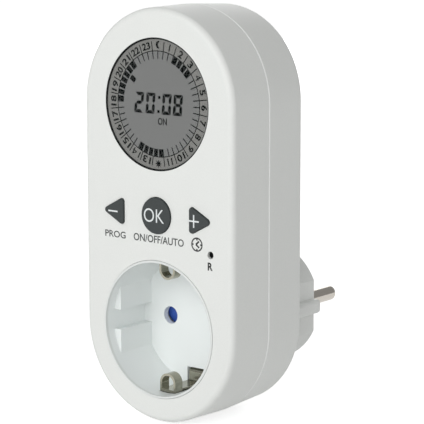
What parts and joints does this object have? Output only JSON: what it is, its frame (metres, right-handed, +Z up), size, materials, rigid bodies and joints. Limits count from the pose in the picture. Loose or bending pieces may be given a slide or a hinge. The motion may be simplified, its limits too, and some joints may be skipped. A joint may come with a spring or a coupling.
{
  "type": "plug in timer switch",
  "caption": "Plug-in time switch: a rounded flat case with a round digital dial, setting keys, a shuttered earthed socket on the front and an earthed plug on the back.",
  "frame": {"origin": "centre of the plug's flat face, between its pins", "axes": "+Y along the plug's pins into the wall socket, the display faces -Y, +Z up, +X to the right as seen from the front"},
  "size_m": [0.056, 0.0752, 0.1216],
  "materials": {
    "white_housing": "fine satin",
    "white_insert": "fine satin",
    "clear_lens": "polished clear polycarbonate",
    "lcd_glass": "grey polariser over glass",
    "frame_plastic": "matt moulded",
    "zebra_rubber": "soft silicone",
    "circuit_board": "solder resist over glass fibre",
    "key_rubber": "matt moulded",
    "switch_body": "matt moulded",
    "switch_plunger": "matt moulded",
    "chip_resin": "poured epoxy",
    "tinned_steel": "tin plated",
    "battery_steel": "nickel plated",
    "connector_pins": "tin plated pins in a black body",
    "relay_case": "matt moulded",
    "film_case": "moulded epoxy filled case",
    "electrolytic_sleeve": "shrunk sleeve",
    "varistor_epoxy": "dipped epoxy",
    "resistor_lacquer": "lacquered",
    "diode_epoxy": "moulded epoxy",
    "plated_brass": "nickel plated brass",
    "contact_brass": "as rolled",
    "earth_nickel": "nickel plated bronze",
    "carrier_plastic": "matt moulded",
    "shutter_blue": "matt moulded",
    "spring_steel": "drawn wire",
    "zinc_steel": "zinc plated"
  },
  "bodies": {
    "timer": {"front_cover": "white_housing", "rear_housing": "white_housing", "plug_turret": "white_housing", "socket_insert": "white_insert", "display_window": "clear_lens", "lcd_panel": "lcd_glass", "lcd_frame": "frame_plastic", "zebra_strips": "zebra_rubber", "control_board": "circuit_board", "switch_minus": "switch_body", "switch_ok": "switch_body", "switch_plus": "switch_body", "reset_switch": "switch_body", "clock_chip": "chip_resin", "clock_crystal": "tinned_steel", "backup_battery": "battery_steel", "battery_tabs": "tinned_steel", "board_connector": "connector_pins", "power_board": "circuit_board", "relay": "relay_case", "suppression_capacitor": "film_case", "smoothing_capacitor": "electrolytic_sleeve", "varistor": "varistor_epoxy", "dropper_resistor": "resistor_lacquer", "rectifier_diodes": "diode_epoxy", "driver_transistor": "diode_epoxy", "neutral_pin": "plated_brass", "live_pin": "plated_brass", "neutral_input_strip": "contact_brass", "live_input_strip": "contact_brass", "neutral_output_strip": "contact_brass", "live_output_strip": "contact_brass", "neutral_contact": "contact_brass", "live_contact": "contact_brass", "contact_carrier": "carrier_plastic", "earth_bridge": "earth_nickel", "plug_earth_clip_upper": "earth_nickel", "plug_earth_clip_lower": "earth_nickel", "shutter_spring": "spring_steel", "housing_screws": "zinc_steel", "control_board_screws": "zinc_steel", "power_board_screws": "zinc_steel", "carrier_screws": "zinc_steel"},
    "key_minus": {"key_minus": "key_rubber", "plunger_minus": "switch_plunger"},
    "key_ok": {"key_ok": "key_rubber", "plunger_ok": "switch_plunger"},
    "key_plus": {"key_plus": "key_rubber", "plunger_plus": "switch_plunger"},
    "reset": {"reset_plunger": "switch_plunger"},
    "shutter": {"shutter": "shutter_blue"}
  },
  "joints": [
    {"name": "key_minus_press", "type": "slide", "parent": "timer", "child": "key_minus", "axis": [0, 1, 0], "range_m": [0, 0.0005], "stiffness_N_per_m": 1500, "springref_m": -0.0006},
    {"name": "key_ok_press", "type": "slide", "parent": "timer", "child": "key_ok", "axis": [0, 1, 0], "range_m": [0, 0.0005], "stiffness_N_per_m": 1500, "springref_m": -0.0006},
    {"name": "key_plus_press", "type": "slide", "parent": "timer", "child": "key_plus", "axis": [0, 1, 0], "range_m": [0, 0.0005], "stiffness_N_per_m": 1500, "springref_m": -0.0006},
    {"name": "reset_press", "type": "slide", "parent": "timer", "child": "reset", "axis": [0, 1, 0], "range_m": [0, 0.00025], "stiffness_N_per_m": 2000, "springref_m": -0.0003},
    {"name": "shutter_turn", "type": "hinge", "parent": "timer", "child": "shutter", "pos_m": [0, -0.0343, 0], "axis": [0, 1, 0], "range_deg": [0, 38], "stiffness_Nm_per_rad": 0.001, "springref_deg": -28.65}
  ]
}
